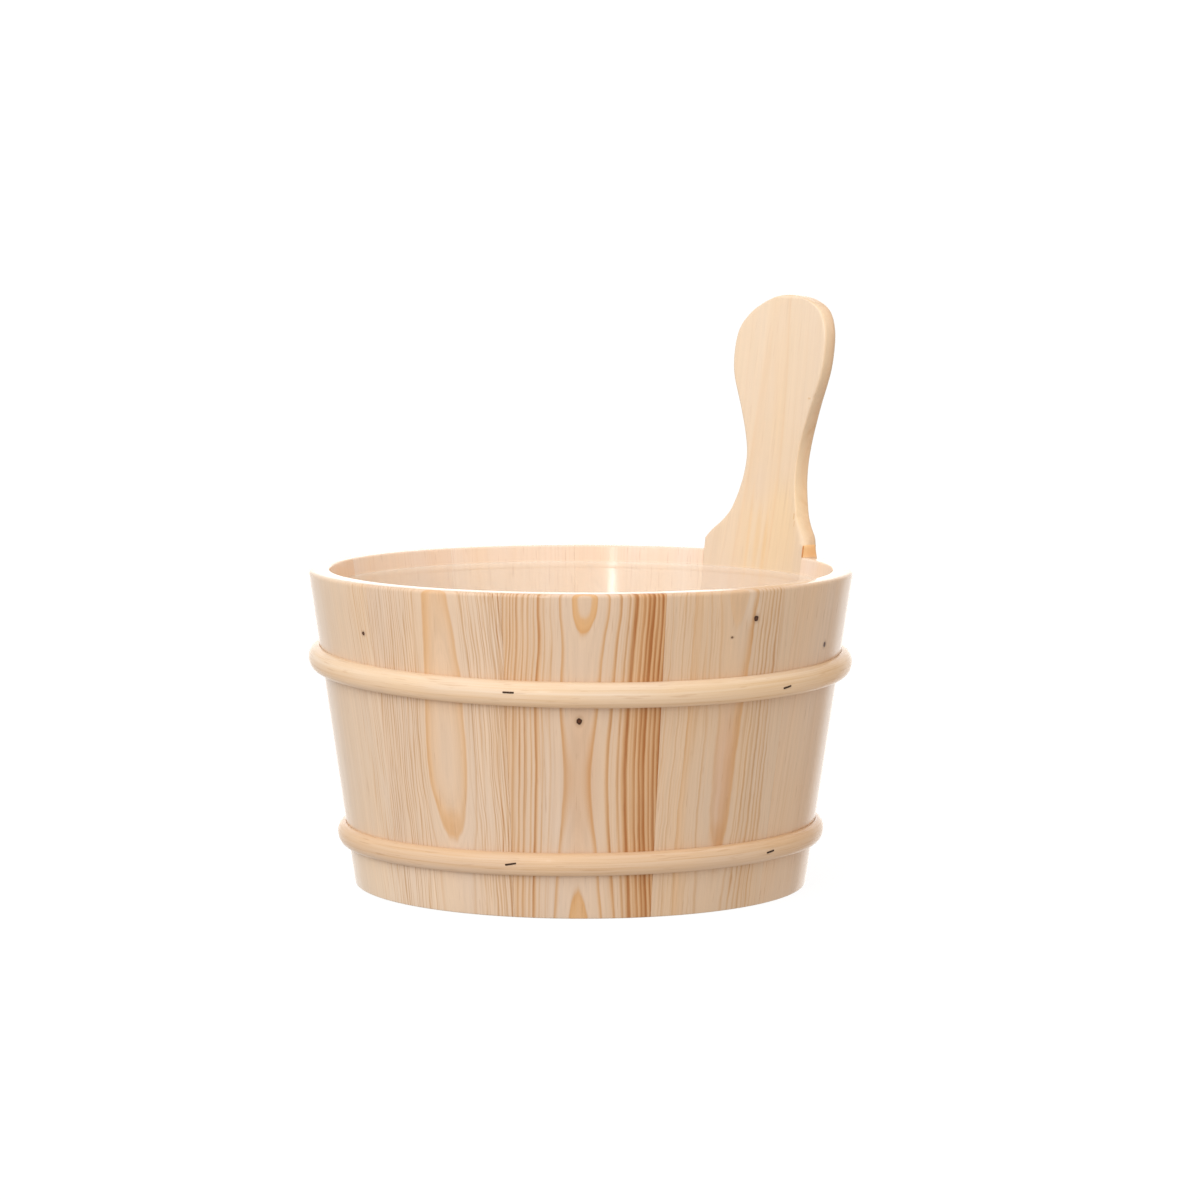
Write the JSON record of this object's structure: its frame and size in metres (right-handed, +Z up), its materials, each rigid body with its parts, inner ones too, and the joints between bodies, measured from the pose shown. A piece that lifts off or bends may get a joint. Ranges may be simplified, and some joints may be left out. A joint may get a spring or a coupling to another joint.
{
  "type": "sauna bucket",
  "caption": "Round flared wooden sauna bucket of lacquered softwood staves with stapled half-round hoops, a paddle handle on one long stave and a lift-out plastic liner.",
  "frame": {"origin": "on the bucket's axis, on the plane that it stands on", "axes": "+Z up along the axis, -Y towards the front as pictured, +X to the right; the handle stave is at the rear right"},
  "size_m": [0.2598, 0.2599, 0.2782],
  "materials": {
    "stave_wood": "clear satin lacquer over pale softwood",
    "bottom_wood": "clear satin lacquer over pale softwood",
    "hoop_wood": "satin lacquered split cane, half round",
    "staple_steel": "dulled dark wire",
    "liner_plastic": "translucent, smooth gloss"
  },
  "bodies": {
    "bucket": {"stave_01": "stave_wood", "stave_02": "stave_wood", "stave_03": "stave_wood", "stave_04": "stave_wood", "stave_05": "stave_wood", "stave_06": "stave_wood", "stave_07": "stave_wood", "stave_08": "stave_wood", "stave_09": "stave_wood", "stave_10": "stave_wood", "handle_stave": "stave_wood", "bottom_board_left": "bottom_wood", "bottom_board_middle": "bottom_wood", "bottom_board_right": "bottom_wood", "upper_hoop": "hoop_wood", "lower_hoop": "hoop_wood", "staple_upper_1": "staple_steel", "staple_upper_2": "staple_steel", "staple_upper_3": "staple_steel", "staple_upper_4": "staple_steel", "staple_upper_5": "staple_steel", "staple_upper_6": "staple_steel", "staple_lower_1": "staple_steel", "staple_lower_2": "staple_steel", "staple_lower_3": "staple_steel", "staple_lower_4": "staple_steel", "staple_lower_5": "staple_steel", "staple_lower_6": "staple_steel", "staple_lower_7": "staple_steel"},
    "liner": {"liner": "liner_plastic"}
  },
  "joints": [
    {"name": "liner_lift", "type": "slide", "parent": "bucket", "child": "liner", "axis": [0, 0, 1], "range_m": [0, 0.27]}
  ]
}
